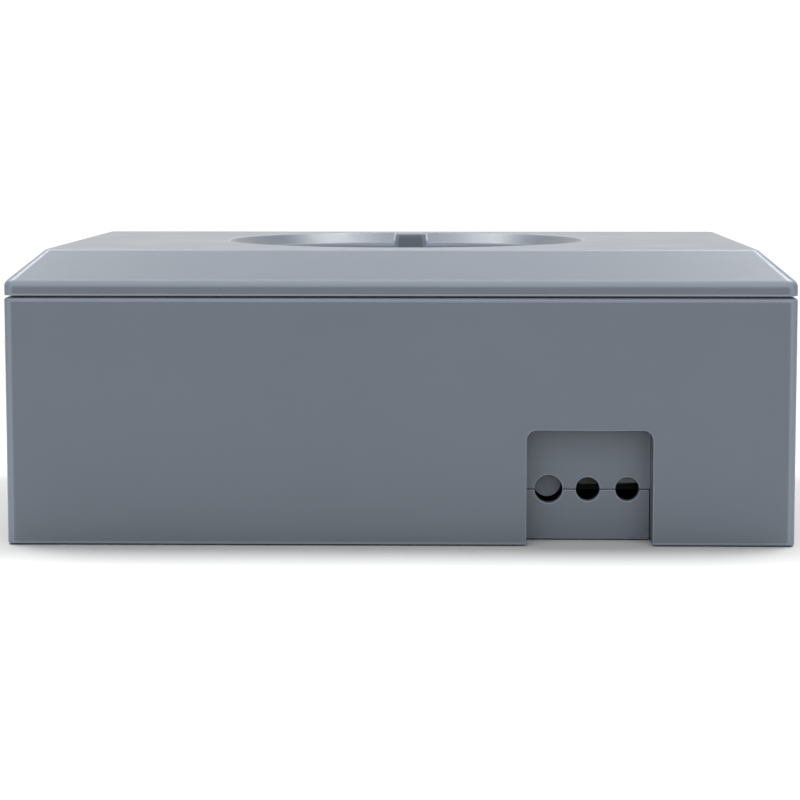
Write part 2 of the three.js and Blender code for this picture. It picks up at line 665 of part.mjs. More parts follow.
for (const [x, y, side] of FEET) {
  place(`foot_${side}`, rod(x, y, 9, 0, 2, 24), 'rubber');
}
for (const [sx, sy, side] of QUADRANTS) {
  screw(`cover_screw_${side}`, sx * COLUMN_X, sy * COLUMN_Y, COLUMN_SEAT_Z, 3.8, 3, 2, 24.5, true);
}
BASE_SCREWS.forEach(([x, y], i) => screw(`base_screw_${i + 1}`, x, y, 2.6, 3.5, 1.6, 1.6, 12.8, true));
NEST_SCREWS.forEach(([x, y], i) => screw(`nest_screw_${i + 1}`, x, y, NEST_TOP_Z, 2.8, 1.4, 1.4, 9, false));
FRAME_SCREWS.forEach(([x, y], i) => screw(`frame_screw_${i + 1}`, x, y, 5.8, 3, 2, 1.5, 4, false));
BOARD_SCREWS.forEach(([x, y], i) => screw(`board_screw_${i + 1}`, x, y, BOARD_TOP_Z, 2.8, 1.8, 1.4, 6, false));
CLAMP_SCREWS.forEach(([x, y, side]) => {
  screw(`clamp_screw_${side}`, x, y, CLAMP_Z + 6, 2.8, 1.8, 1.4, 11, false);
});

export default detacher;
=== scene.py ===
"""Detailed looks for the powered security tag detacher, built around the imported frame."""
import json
import math

import bmesh
import bpy
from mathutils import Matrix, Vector


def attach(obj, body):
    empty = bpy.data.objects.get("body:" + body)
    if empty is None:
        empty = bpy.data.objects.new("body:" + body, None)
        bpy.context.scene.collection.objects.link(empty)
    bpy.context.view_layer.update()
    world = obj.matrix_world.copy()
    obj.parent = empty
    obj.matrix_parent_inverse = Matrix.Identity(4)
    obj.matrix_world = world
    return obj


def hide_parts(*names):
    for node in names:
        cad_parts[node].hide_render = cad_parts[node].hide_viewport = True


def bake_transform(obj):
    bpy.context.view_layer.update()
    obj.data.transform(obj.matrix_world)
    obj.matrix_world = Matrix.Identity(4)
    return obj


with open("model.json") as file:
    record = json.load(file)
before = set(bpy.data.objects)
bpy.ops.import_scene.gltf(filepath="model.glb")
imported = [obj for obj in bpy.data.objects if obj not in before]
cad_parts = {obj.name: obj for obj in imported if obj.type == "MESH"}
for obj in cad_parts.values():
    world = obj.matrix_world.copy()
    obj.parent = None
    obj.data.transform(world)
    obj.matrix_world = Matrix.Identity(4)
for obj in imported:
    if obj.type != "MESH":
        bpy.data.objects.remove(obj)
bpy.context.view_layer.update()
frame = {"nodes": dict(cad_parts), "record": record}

MM = 0.001

# Case sizes in millimetres, the same as the CAD solids.
WIDTH, DEPTH, HEIGHT = 240.0, 156.0, 90.0
WALL = 3.0
SKIRT_Z, HOUSING_TOP_Z = 0.5, 75.7
COVER_Z, LIP_TOP_Z = 76.3, 80.3
CHAMFER_IN = 11.3
PLATE_TOP_Z = 3.8
DISH_Y, DISH_RIM_R, DISH_WALL_R, DISH_SLOPE, DISH_FLOOR_Z = 2.0, 59.1, 55.1, 4.0, 80.0
BAY_X0, BAY_X1, BAY_TOP_Z, BAY_BACK_Y, BAY_WALL = 38.5, 76.8, 35.5, -66.5, 2.5
SPLIT_Z, SPLIT_GAP = 16.0, 0.15
CABLE_HOLES = ((45.5, 4.25), (57.6, 3.6), (69.8, 3.6))
COLUMN_X, COLUMN_Y = 107.5, 65.5
BASE_SCREWS = ((-60, -69), (95, -69), (-60, 69), (60, 69))
NEST_SCREWS = ((-36, -15), (36, -15), (-36, 19), (36, 19))
QUADRANTS = ((-1, -1, "rear_left"), (1, -1, "rear_right"), (-1, 1, "front_left"), (1, 1, "front_right"))
LENS_Z = 62.0
PLUNGER_X = 24.0
GUIDE_FLOOR_Z = 60.0
KNEE_SOFT = 3.0
CORNER_R = 2.2
SIDE_HOLD = 0.4
TONGUE_LOW_Z, TONGUE_TOP_Z = 72.3, 81.0
SEAT_SIZE, PLUG_SIZE = (90, 48), (64, 30)

# Painted edge highlight: sharper folds are ignored, and a face this tightly rounded (per metre) gets the full
# painted highlight.
SHARP_TURN = math.radians(50)
FULL_HIGHLIGHT_CURVE = 500.0
EDGE_HIGHLIGHT_LIMIT = 0.7

# Studio: world light on the surfaces, white seen by the camera, and the paper floor.
FILL_STRENGTH, BACKDROP_STRENGTH = 0.17, 1.1
FLOOR_SIZE, FLOOR_GREY = 1.5, 0.64
LIGHT_AIM = (0, 0, 0.08)


# ---------------------------------------------------------------- mesh helpers
def polar(cx, cy, radius, degrees):
    angle = math.radians(degrees)
    return (cx + radius * math.cos(angle), cy + radius * math.sin(angle))


def rounded_rect(width, depth, radius, steps=6, centre=(0.0, 0.0), hold=0.0):
    """Outline with rounded corners; hold adds a point that far along each straight side."""
    points = []
    for sx, sy, start in ((1, 1, 0), (-1, 1, 90), (-1, -1, 180), (1, -1, 270)):
        cx = centre[0] + sx * (width / 2 - radius)
        cy = centre[1] + sy * (depth / 2 - radius)
        corner = [polar(cx, cy, radius, start + 90 * i / steps) for i in range(steps + 1)]
        if hold:
            lead = polar(*corner[0], hold, start - 90)
            tail = polar(*corner[-1], hold, start + 180)
            corner = [lead] + corner + [tail]
        points += corner
    return points


def finish_mesh(name, bm):
    bmesh.ops.recalc_face_normals(bm, faces=bm.faces)
    mesh = bpy.data.meshes.new(name)
    bm.to_mesh(mesh)
    bm.free()
    obj = bpy.data.objects.new(name, mesh)
    bpy.context.collection.objects.link(obj)
    return obj


def loft(name, rings, place=None):
    """Rings of (points, level) joined side by side; place maps (a, b, level) to millimetres."""
    place = place or (lambda a, b, level: (a, b, level))
    bm = bmesh.new()
    loops = []
    for points, level in rings:
        loops.append([bm.verts.new([c * MM for c in place(a, b, level)]) for a, b in points])
    count = len(loops[0])
    for lower, upper in zip(loops, loops[1:]):
        for i in range(count):
            j = (i + 1) % count
            bm.faces.new((lower[i], lower[j], upper[j], upper[i]))
    bm.faces.new(list(reversed(loops[0])))
    bm.faces.new(loops[-1])
    return finish_mesh(name, bm)


def along_y(a, b, level):
    return (a, level, b)


def lathe(name, profile, count=64, centre=(0.0, 0.0), axis="z", start=0.0):
    """Turns (radius, height) points; the first and last points lie on the axis."""
    bm = bmesh.new()

    def point(radius, height, turn):
        angle = math.radians(start) + turn
        u = centre[0] + radius * math.cos(angle)
        v = centre[1] + radius * math.sin(angle)
        co = (u, v, height) if axis == "z" else (u, height, v)
        return [c * MM for c in co]

    loops = []
    for radius, height in profile:
        if radius < 1e-6:
            loops.append([bm.verts.new(point(0, height, 0))])
        else:
            turns = [2 * math.pi * i / count for i in range(count)]
            loops.append([bm.verts.new(point(radius, height, turn)) for turn in turns])
    for lower, upper in zip(loops, loops[1:]):
        for i in range(count):
            j = (i + 1) % count
            ring = [lower[i % len(lower)], lower[j % len(lower)],
                    upper[j % len(upper)], upper[i % len(upper)]]
            unique = list(dict.fromkeys(ring))
            if len(unique) > 2:
                bm.faces.new(unique)
    return finish_mesh(name, bm)


def block(name, x0, x1, y0, y1, z0, z1):
    points = [(x0, y0), (x1, y0), (x1, y1), (x0, y1)]
    return loft(name, [(points, z0), (points, z1)])


def bake_modifiers(obj):
    depsgraph = bpy.context.evaluated_depsgraph_get()
    mesh = bpy.data.meshes.new_from_object(obj.evaluated_get(depsgraph))
    old = obj.data
    obj.modifiers.clear()
    obj.data = mesh
    bpy.data.meshes.remove(old)


def combine(base, tools, operation="DIFFERENCE"):
    for tool in tools:
        modifier = base.modifiers.new("cut", "BOOLEAN")
        modifier.operation = operation
        modifier.solver = "EXACT"
        modifier.object = tool
        bake_modifiers(base)
        bpy.data.objects.remove(tool, do_unlink=True)
    return base


def bevel(obj, width, segments=2, angle=40.0):
    modifier = obj.modifiers.new("soften", "BEVEL")
    modifier.width = width * MM
    modifier.segments = segments
    modifier.limit_method = "ANGLE"
    modifier.angle_limit = math.radians(angle)
    modifier.miter_outer = "MITER_ARC"
    modifier.use_clamp_overlap = True
    bake_modifiers(obj)
    return obj


def smooth(obj, angle=32.0):
    """Smooth shading inside the angle, with large flat faces kept flat."""
    for polygon in obj.data.polygons:
        polygon.use_smooth = True
    obj.data.set_sharp_from_angle(angle=math.radians(angle))
    modifier = obj.modifiers.new("flat_faces", "WEIGHTED_NORMAL")
    modifier.keep_sharp = True
    modifier.weight = 100
    bake_modifiers(obj)
    return obj


def mark_edges(obj):
    """Stores on every face how tightly it is rounded outward, for the painted highlight on rounded edges."""
    bm = bmesh.new()
    bm.from_mesh(obj.data)
    bending = [0.0] * len(bm.faces)
    bm.faces.index_update()
    for edge in bm.edges:
        turn = edge.calc_face_angle_signed(0.0)
        if 0.02 < turn < SHARP_TURN:
            for face in edge.link_faces:
                bending[face.index] += turn * edge.calc_length()
    areas = [face.calc_area() for face in bm.faces]
    bm.free()
    layer = obj.data.attributes.new("painted_edge_highlight", "FLOAT", "FACE")
    for item, bend, area in zip(layer.data, bending, areas):
        item.value = min(EDGE_HIGHLIGHT_LIMIT, bend / (2 * area) / FULL_HIGHLIGHT_CURVE) if area > 0 else 0.0


def arc(cx, cy, radius, start, end, steps):
    return [polar(cx, cy, radius, start + (end - start) * i / steps) for i in range(steps + 1)]


# ---------------------------------------------------------------- materials
def principled(name):
    material = bpy.data.materials.new(name)
    material.use_nodes = True
    nodes = material.node_tree.nodes
    return material, nodes, material.node_tree.links, nodes["Principled BSDF"]


def noise(nodes, links, coords, scale, detail=3.0, roughness=0.5):
    node = nodes.new("ShaderNodeTexNoise")
    node.inputs["Scale"].default_value = scale
    node.inputs["Detail"].default_value = detail
    node.inputs["Roughness"].default_value = roughness
    links.new(coords.outputs["Object"], node.inputs["Vector"])
    return node


def ramp(nodes, links, source, stops):
    node = nodes.new("ShaderNodeValToRGB")
    elements = node.color_ramp.elements
    while len(elements) < len(stops):
        elements.new(0.5)
    for element, (position, colour) in zip(elements, stops):
        element.position = position
        element.color = (*colour, 1.0)
    links.new(source, node.inputs["Fac"])
    return node


def grey(value):
    return (value, value, value)


def scaled(colour, factor):
    return tuple(min(1.0, c * factor) for c in colour)


def moulded(name, colour, roughness=0.42, grain=2600.0, bump=0.05, variation=0.04, edge=0.0, gloss=0.5):
    """Moulded plastic: faint colour drift, fine spark texture, uneven sheen, rounded edges painted paler as a
    highlight.
    """
    material, nodes, links, shader = principled(name)
    coords = nodes.new("ShaderNodeTexCoord")
    broad = noise(nodes, links, coords, 14.0, 4.0)
    tint = ramp(nodes, links, broad.outputs["Fac"],
                ((0.3, scaled(colour, 1 - variation)), (0.7, scaled(colour, 1 + variation))))
    base = tint.outputs["Color"]
    # Rounded edges are mixed towards a paler base colour by the stored attribute: a painted highlight.
    if edge:
        painted_edge_highlight = nodes.new("ShaderNodeAttribute")
        painted_edge_highlight.attribute_name = "painted_edge_highlight"
        painted_highlight_ramp = ramp(nodes, links, painted_edge_highlight.outputs["Fac"], ((0.05, grey(0.0)), (1.0, grey(edge))))
        mix = nodes.new("ShaderNodeMix")
        mix.data_type = "RGBA"
        links.new(painted_highlight_ramp.outputs["Color"], mix.inputs["Factor"])
        links.new(base, mix.inputs["A"])
        mix.inputs["B"].default_value = (*scaled(colour, 2.2), 1.0)
        base = mix.outputs["Result"]
    links.new(base, shader.inputs["Base Color"])
    sheen = noise(nodes, links, coords, 60.0, 5.0, 0.6)
    rough = ramp(nodes, links, sheen.outputs["Fac"],
                 ((0.25, grey(roughness - 0.04)), (0.75, grey(roughness + 0.04))))
    links.new(rough.outputs["Color"], shader.inputs["Roughness"])
    shader.inputs["Specular IOR Level"].default_value = gloss
    spark = noise(nodes, links, coords, grain, 2.0, 0.6)
    relief = nodes.new("ShaderNodeBump")
    relief.inputs["Strength"].default_value = bump
    relief.inputs["Distance"].default_value = 0.0002
    links.new(spark.outputs["Fac"], relief.inputs["Height"])
    links.new(relief.outputs["Normal"], shader.inputs["Normal"])
    return material


def metal(name, colour, roughness=0.3, stretch=(1.0, 1.0, 1.0), grain=900.0, bump=0.08):
    """Machined or plated metal: drawn grain, roughness streaks and faint stains."""
    material, nodes, links, shader = principled(name)
    coords = nodes.new("ShaderNodeTexCoord")
    mapping = nodes.new("ShaderNodeMapping")
    mapping.inputs["Scale"].default_value = stretch
    links.new(coords.outputs["Object"], mapping.inputs["Vector"])
    streak = nodes.new("ShaderNodeTexNoise")
    streak.inputs["Scale"].default_value = grain
    streak.inputs["Detail"].default_value = 4.0
    links.new(mapping.outputs["Vector"], streak.inputs["Vector"])
    stain = noise(nodes, links, coords, 90.0, 3.0)
    tint = ramp(nodes, links, stain.outputs["Fac"],
                ((0.35, scaled(colour, 0.86)), (0.7, scaled(colour, 1.06))))
    links.new(tint.outputs["Color"], shader.inputs["Base Color"])
    shader.inputs["Metallic"].default_value = 1.0
    rough = ramp(nodes, links, streak.outputs["Fac"],
                 ((0.3, grey(roughness - 0.08)), (0.7, grey(roughness + 0.1))))
    links.new(rough.outputs["Color"], shader.inputs["Roughness"])
    relief = nodes.new("ShaderNodeBump")
    relief.inputs["Strength"].default_value = bump
    relief.inputs["Distance"].default_value = 0.0001
    links.new(streak.outputs["Fac"], relief.inputs["Height"])
    links.new(relief.outputs["Normal"], shader.inputs["Normal"])
    return material


# edge sets how strongly rounded edges are painted paler as a highlight.
SHELL = moulded("shell_blue_grey", (0.114, 0.134, 0.163), 0.36, variation=0.02, edge=0.85)
NEST = moulded("nest_dark_grey", (0.045, 0.048, 0.054), 0.34, edge=0.25)
STEEL = metal("ground_steel", (0.62, 0.63, 0.65), 0.24)
ZINC = metal("zinc_plate", (0.55, 0.57, 0.6), 0.36, stretch=(1.0, 6.0, 1.0), grain=300.0)
BRASS = metal("brass_gear", (0.72, 0.5, 0.2), 0.3)
NYLON = moulded("natural_nylon", (0.72, 0.69, 0.6), 0.48, grain=900.0)
BLACK = moulded("black_plastic", (0.012, 0.012, 0.014), 0.3)
BOARD = moulded("solder_resist", (0.006, 0.045, 0.02), 0.26, grain=1400.0, variation=0.15)
RELAY = moulded("relay_blue", (0.02, 0.07, 0.3), 0.25)
RUBBER = moulded("foot_rubber", (0.018, 0.018, 0.02), 0.72, grain=1500.0, bump=0.2, gloss=0.3)
LENS = moulded("light_pipe", (0.55, 0.8, 0.6), 0.12, gloss=0.6)

SLOT_MATERIALS = {
    "shell": SHELL, "nest": NEST, "sheet_steel": ZINC, "steel": STEEL, "brass": BRASS, "nylon": NYLON,
    "black_plastic": BLACK, "board": BOARD, "relay_case": RELAY, "rubber": RUBBER, "lens": LENS,
}
NODE_SLOTS = {entry["node"]: entry["material_slot"] for entry in frame["record"]["subparts"]}
for node_name, node_object in frame["nodes"].items():
    node_object.data.materials.clear()
    node_object.data.materials.append(SLOT_MATERIALS[NODE_SLOTS[node_name]])


def dress(obj, node, body="case"):
    """Gives a piece its finish and makes it stand for one CAD node."""
    slot = NODE_SLOTS[node]
    obj.data.materials.clear()
    obj.data.materials.append(SLOT_MATERIALS[slot])
    mark_edges(obj)
    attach(obj, body)
    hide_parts(node)
    return obj


# ---------------------------------------------------------------- lower housing
def bay_tool():
    """The pocket's negative: a flared mouth, straight sides and a soft inner corner."""
    width, top, bottom = BAY_X1 - BAY_X0, BAY_TOP_Z, -10.0
    centre = ((BAY_X0 + BAY_X1) / 2, (top + bottom) / 2)
    mouth = 0.4
    levels = [(0.8, -DEPTH / 2 - 1.0)]
    for i in range(6):
        angle = math.radians(80 - 80 * i / 5)
        levels.append((mouth * (1 - math.cos(angle)), -DEPTH / 2 + mouth * (1 - math.sin(angle))))
    levels += [(0.0, BAY_BACK_Y - 0.6), (-0.18, BAY_BACK_Y - 0.18), (-0.6, BAY_BACK_Y)]
    rings = []
    for grow, level in levels:
        outline = rounded_rect(width + 2 * grow, top - bottom + 2 * grow, 3.0 + grow, 8, centre)
        rings.append((outline, level))
    return loft("bay_tool", rings, along_y)


def cable_tools(y_end):
    tools = []
    for x, radius in CABLE_HOLES:
        profile = [(0, BAY_BACK_Y - 1), (radius + 0.5, BAY_BACK_Y - 1), (radius + 0.45, BAY_BACK_Y - 0.01),
                   (radius + 0.18, BAY_BACK_Y + 0.1), (radius, BAY_BACK_Y + 0.45), (radius, y_end), (0, y_end)]
        tools.append(lathe("cable_tool", profile, 48, (x, SPLIT_Z), "y"))
    return tools


def lower_housing():
    low_soft, top_soft, hold = 0.3, 0.8, 0.5
    levels = [(low_soft * (1 - math.sin(math.radians(a))),
               SKIRT_Z + low_soft * (1 - math.cos(math.radians(a)))) for a in (0, 30, 60, 90)]
    levels += [(0.0, SKIRT_Z + low_soft + hold), (0.0, HOUSING_TOP_Z - top_soft - hold)]
    levels += [(top_soft * (1 - math.cos(math.radians(a))),
                HOUSING_TOP_Z - top_soft * (1 - math.sin(math.radians(a)))) for a in (0, 30, 60, 90)]
    body = loft("lower_housing_shell",
                [(rounded_rect(WIDTH - 2 * inset, DEPTH - 2 * inset, CORNER_R - inset, 8, hold=hold), z)
                 for inset, z in levels])
    inner = rounded_rect(WIDTH - 2 * WALL, DEPTH - 2 * WALL, 1.0, 4)
    combine(body, [loft("inner", [(inner, -1.0), (inner, HOUSING_TOP_Z + 1.0)])])
    for sx, sy, _ in QUADRANTS:
        xs = sorted((sx * (COLUMN_X - 8.5), sx * (WIDTH / 2 - 1.5)))
        ys = sorted((sy * (COLUMN_Y - 8.5), sy * (DEPTH / 2 - 1.5)))
        combine(body, [block("column", xs[0], xs[1], ys[0], ys[1], PLATE_TOP_Z, HOUSING_TOP_Z)], "UNION")
        well = [(0, 2.0), (4.5, 2.0), (4.5, 58.0), (2.3, 58.0), (2.3, 78.0), (0, 78.0)]
        combine(body, [lathe("well", well, 24, (sx * COLUMN_X, sy * COLUMN_Y))])
    for x, y in BASE_SCREWS:
        ys = sorted((math.copysign(64, y), math.copysign(DEPTH / 2 - 1.5, y)))
        combine(body, [block("boss", x - 5, x + 5, ys[0], ys[1], PLATE_TOP_Z, 18.0)], "UNION")
        combine(body, [lathe("pilot", [(0, 2.0), (1.7, 2.0), (1.7, 16.0), (0, 16.0)], 20, (x, y))])
    back = BAY_BACK_Y + BAY_WALL
    surround = block("surround", BAY_X0 - BAY_WALL, BAY_X1 + BAY_WALL, -DEPTH / 2 + 1.5, back,
                     SKIRT_Z + 0.3, BAY_TOP_Z + BAY_WALL)
    combine(body, [surround], "UNION")
    lower = block("lower", BAY_X0, BAY_X1, BAY_BACK_Y - 1.0, back + 1.0, -2.0, SPLIT_Z + SPLIT_GAP)
    combine(body, [bay_tool(), lower] + cable_tools(back + 1.0))
    combine(body, [lathe("lens_hole", [(0, 70), (2.6, 70), (2.6, 77.5), (3.0, 77.9), (3.1, 79), (0, 79)],
                         32, (0, LENS_Z), "y")])
    return dress(smooth(body), "lower_housing")


# ---------------------------------------------------------------- top cover
def cover_profile():
    """Outer face as (inset, height): soft lip, chamfer, and soft turn into the flat top."""
    rise = HEIGHT - LIP_TOP_Z
    slope = math.atan2(rise, CHAMFER_IN)
    hold = SIDE_HOLD
    points = [(0.2, COVER_Z), (0.06, COVER_Z + 0.06), (0.0, COVER_Z + 0.2), (0.0, COVER_Z + 0.2 + hold)]

    def fillet(corner, before, after, radius, steps):
        turn = after - before
        reach = radius * math.tan(abs(turn) / 2)
        start = (corner[0] - reach * math.cos(before), corner[1] - reach * math.sin(before))
        centre = (start[0] + radius * math.sin(before), start[1] - radius * math.cos(before))
        out = [(start[0] - hold * math.cos(before), start[1] - hold * math.sin(before))]
        for i in range(steps + 1):
            a = before + turn * i / steps
            out.append((centre[0] - radius * math.sin(a), centre[1] + radius * math.cos(a)))
        out.append((out[-1][0] + hold * math.cos(after), out[-1][1] + hold * math.sin(after)))
        return out

    points += fillet((0.0, LIP_TOP_Z), math.radians(90), slope, 2.6, 5)
    points += fillet((CHAMFER_IN, HEIGHT), slope, 0.0, 2.0, 6)
    return points


def dish_tool():
    floor_soft, rim_soft = 1.0, 1.0
    profile = [(0.0, DISH_FLOOR_Z), (DISH_WALL_R - floor_soft, DISH_FLOOR_Z)]
    profile += arc(DISH_WALL_R - floor_soft, DISH_FLOOR_Z + floor_soft, floor_soft, -75, 0, 5)
    knee, knee_soft = HEIGHT - DISH_SLOPE, KNEE_SOFT
    reach = knee_soft * math.tan(math.radians(22.5))
    profile += arc(DISH_WALL_R + knee_soft, knee - reach, knee_soft, 180, 135, 6)
    reach = rim_soft * math.tan(math.radians(22.5))
    centre = (DISH_RIM_R + reach, HEIGHT - rim_soft)
    profile += [polar(*centre, rim_soft, a) for a in (135, 126, 117, 108, 100)]
    profile += [(DISH_RIM_R + 1.3, HEIGHT + 0.08), (DISH_RIM_R + 3, HEIGHT + 1), (0.0, HEIGHT + 1)]
    return lathe("dish_tool", profile, 160, (0.0, DISH_Y))


def wall_radius(z):
    knee, soft = HEIGHT - DISH_SLOPE, KNEE_SOFT
    reach = soft * math.tan(math.radians(22.5))
    if z <= knee - reach:
        return DISH_WALL_R
    if z >= knee + reach * math.sin(math.radians(45)):
        return DISH_WALL_R + z - knee
    return DISH_WALL_R + soft - math.sqrt(soft ** 2 - (z - knee + reach) ** 2)


def key_block():
    """Drafted locating key on the user side of the dish, blended into wall and slope."""
    front = DISH_Y + DISH_WALL_R - 1.2
    outer_soft, root_soft, top_soft = 0.7, 1.5, 0.9
    rings = []
    levels = [79.6, 82.0, 84.0, 85.5, 86.8, 87.4, 88.0]
    levels += [HEIGHT - 0.06 - top_soft + top_soft * math.sin(math.radians(a)) for a in (0, 20, 40, 60, 80)]
    for z in levels:
        half = 5.9 - 0.11 * (z - DISH_FLOOR_Z) if z < 84 else 5.46 - 0.16 * (z - 84.0)
        drop = max(0.0, z - (HEIGHT - 0.06 - top_soft))
        pull = top_soft - math.sqrt(max(0.0, top_soft ** 2 - drop ** 2))
        face = front + pull
        half -= pull * 0.6
        base = DISH_Y + math.sqrt(wall_radius(z) ** 2 - (half + root_soft) ** 2)
        back = DISH_Y + DISH_RIM_R + 1.5
        soft = min(root_soft, max(0.05, base - face - outer_soft))
        left = [(-half - soft, back), (-half - soft, base + 0.05)]
        left += [(-half - soft + soft * math.sin(math.radians(a)),
                  base - soft + soft * math.cos(math.radians(a))) for a in (0, 30, 60, 90)][1:]
        round_front = min(outer_soft, half)
        left += [(-half + round_front * (1 - math.cos(math.radians(a))),
                  face + round_front * (1 - math.sin(math.radians(a)))) for a in (0, 25, 50, 75, 90)]
        outline = left + [(-x, y) for x, y in reversed(left)]
        rings.append((outline, z))
    return loft("key", rings)


def top_cover():
    rings = []
    for inset, z in cover_profile():
        outline = rounded_rect(WIDTH - 2 * inset, DEPTH - 2 * inset, 2.6 - 0.08 * inset, 8, hold=SIDE_HOLD)
        rings.append((outline, z))
    body = loft("top_cover_shell", rings)
    inner_top = HEIGHT - WALL
    wide = rounded_rect(WIDTH - 2 * WALL, DEPTH - 2 * WALL, 1.0, 4)
    narrow = rounded_rect(WIDTH - 24.4, DEPTH - 24.4, 1.0, 4)
    combine(body, [loft("hollow", [(wide, COVER_Z - 1), (wide, 79.0), (narrow, inner_top)])])
    x, y = WIDTH / 2 - WALL - 0.3, DEPTH / 2 - WALL - 0.3
    spans = ((-96, 96, -y, -y + 1.5), (-96, 96, y - 1.5, y), (-x, -x + 1.5, -54, 54), (x - 1.5, x, -54, 54))
    tongues = [block("tongue", *span, TONGUE_LOW_Z, TONGUE_TOP_Z) for span in spans]
    bowl = DISH_WALL_R + WALL
    drum = [(0, 77.0), (bowl, 77.0), (bowl, inner_top + 0.5), (0, inner_top + 0.5)]
    tongues.append(lathe("drum", drum, 96, (0, DISH_Y)))
    for sx, sy, _ in QUADRANTS:
        column = [(0, 76.0), (5, 76.0), (5, 85.0), (0, 85.0)]
        tongues.append(lathe("boss", column, 24, (sx * COLUMN_X, sy * COLUMN_Y)))
    for bx, by in NEST_SCREWS:
        tongues.append(lathe("boss", [(0, 71.0), (3.8, 71.0), (3.8, 78.0), (0, 78.0)], 24, (bx, by)))
    ledge = rounded_rect(WIDTH - 5.2, DEPTH - 5.2, 1.0, 4)
    inside = rounded_rect(WIDTH - 8.4, DEPTH - 8.4, 0.8, 4)
    ring = loft("ring", [(ledge, HOUSING_TOP_Z + 0.05), (ledge, COVER_Z + 2.4)])
    combine(ring, [loft("hollow", [(inside, 70.0), (inside, 90.0)])])
    combine(body, tongues + [ring], "UNION")
    combine(body, [dish_tool()])
    combine(body, [key_block()], "UNION")
    hole = rounded_rect(64.6, 30.6, 14.7, 8, (0, DISH_Y))
    holes = [loft("nest_hole", [(hole, 60.0), (hole, 95.0)])]
    holes += [lathe("pilot", [(0, 70), (1.5, 70), (1.5, 95), (0, 95)], 20, xy) for xy in NEST_SCREWS]
    holes += [lathe("pilot", [(0, 75), (2.1, 75), (2.1, 83), (0, 83)], 20, (sx * COLUMN_X, sy * COLUMN_Y))
              for sx, sy, _ in QUADRANTS]
    combine(body, holes)
    return dress(smooth(body), "top_cover")


# ---------------------------------------------------------------- nest, plunger, probe
def nest_insert():
    def outline(width, depth, radius, steps=8):
        return rounded_rect(width, depth, radius, steps, (0, DISH_Y))

    flange_soft = 0.6
    plug = loft("nest_plug", [(outline(63.6, 29.6, 14.3), 76.0), (outline(*PLUG_SIZE, 14.5), 76.4),
                              (outline(*PLUG_SIZE, 14.5), 80.4)])
    width, depth = SEAT_SIZE
    rings = [(outline(89.4, 47.4, 9.7), 80.0), (outline(width, depth, 10), 80.3)]
    for i in range(5):
        angle = math.radians(90 * i / 4)
        inset = flange_soft * (1 - math.cos(angle))
        rings.append((outline(width - 2 * inset, depth - 2 * inset, 10 - inset),
                      82.0 - flange_soft + flange_soft * math.sin(angle)))
    body = combine(loft("nest_seat", rings), [plug], "UNION")
    pocket_rings = ((53, 21, 10.4, 79.0), (53.9, 21.9, 10.85, 79.25), (54.2, 22.2, 11.0, 79.6),
                    (57, 25, 12.4, 81.5), (58, 26, 12.9, 81.9), (60, 28, 13.9, 82.4))
    pocket = [(outline(w, d, r, 10), z) for w, d, r, z in pocket_rings]
    slot = rounded_rect(8.0, 4.6, 1.0, 5, (6.8, DISH_Y))
    flare = rounded_rect(8.8, 5.4, 1.4, 5, (6.8, DISH_Y))
    tools = [loft("pocket", pocket), loft("slot", [(slot, 70.0), (slot, 78.7), (flare, 79.1), (flare, 90.0)])]
    bore = [(0, 70), (3.6, 70), (3.6, 78.7), (4.0, 79.1), (4.0, 90), (0, 90)]
    tools.append(lathe("plunger_hole", bore, 48, (PLUNGER_X, DISH_Y)))
    screw_hole = [(0, 76), (1.6, 76), (1.6, 90), (0, 90)]
    tools += [lathe("screw_hole", screw_hole, 20, xy) for xy in NEST_SCREWS]
    return dress(smooth(combine(body, tools)), "nest_insert")


def tag_plunger():
    profile = [(0, 54.0), (2.0, 54.0), (2.4, 54.4), (2.4, 73.9), (4.8, 73.9), (5.0, 74.1), (5.0, 75.7), (4.8, 75.9),
               (3.4, 75.9), (3.4, 80.1)]
    profile += [(3.4 - 1.2 * (1 - math.cos(math.radians(a))), 80.1 + 1.2 * math.sin(math.radians(a)))
                for a in (20, 40, 60, 80)]
    profile += [(1.2, 81.45), (0, 81.5)]
    return dress(smooth(lathe("tag_plunger_pin", profile, 48, (PLUNGER_X, DISH_Y))), "tag_plunger", "plunger")


def plunger_spring():
    """Coil spring with closed ends; its foot sits in the guide."""
    coil_r, wire_r, foot_z, top_z = 4.2, 0.42, GUIDE_FLOOR_Z + 0.5, GUIDE_FLOOR_Z + 13.3
    turns, per_turn, sides, closed_rise = 7, 24, 10, 0.88
    open_rise = (top_z - foot_z - 2 * closed_rise) / (turns - 2)
    bm = bmesh.new()
    loops = []
    for i in range(turns * per_turn + 1):
        turn = i / per_turn
        z = foot_z + closed_rise * min(turn, 1.0) + open_rise * min(max(turn - 1, 0.0), turns - 2)
        z += closed_rise * max(0.0, turn - (turns - 1))
        ring = []
        for k in range(sides):
            side = 2 * math.pi * k / sides
            x, y = polar(PLUNGER_X, DISH_Y, coil_r + wire_r * math.cos(side), 360 * turn)
            ring.append(bm.verts.new((x * MM, y * MM, (z + wire_r * math.sin(side)) * MM)))
        loops.append(ring)
    for lower, upper in zip(loops, loops[1:]):
        for k in range(sides):
            j = (k + 1) % sides
            bm.faces.new((lower[k], lower[j], upper[j], upper[k]))
    bm.faces.new(list(reversed(loops[0])))
    bm.faces.new(loops[-1])
    spring = smooth(finish_mesh("plunger_spring_coil", bm))
    mark_edges(spring)
    spring.data.materials.clear()
    spring.data.materials.append(SLOT_MATERIALS["steel"])
    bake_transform(spring)
    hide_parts("plunger_spring")


